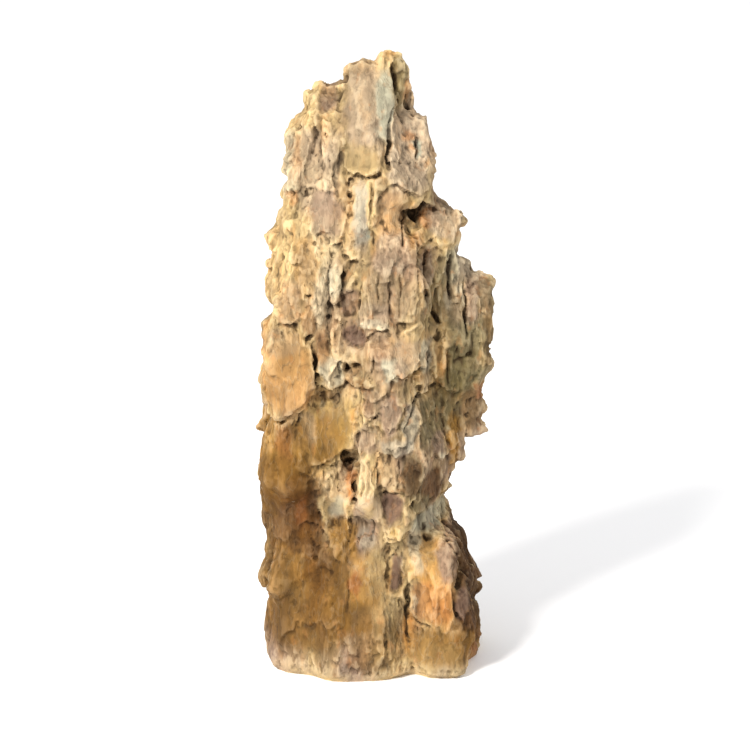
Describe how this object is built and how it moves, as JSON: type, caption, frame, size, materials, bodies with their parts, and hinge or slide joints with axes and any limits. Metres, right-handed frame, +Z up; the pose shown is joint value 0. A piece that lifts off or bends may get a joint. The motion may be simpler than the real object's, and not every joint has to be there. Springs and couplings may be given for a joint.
{
  "type": "dragon stone",
  "caption": "Tall upright ornamental dragon stone (ohko) for aquascaping: one craggy ochre rock with overlapping scales, ledges and hollows, standing on a flat foot.",
  "frame": {"origin": "on the floor, under the middle of the stone's box", "axes": "+Z up along the stone's height, show face towards -Y, +X to the show face's right"},
  "size_m": [0.1152, 0.0928, 0.3034],
  "materials": {
    "dragon_stone": "dry, matte weathered clay rock: cream to ochre crests, orange-brown to umber hollows"
  },
  "bodies": {
    "root": {"stone": "dragon_stone"}
  },
  "joints": []
}
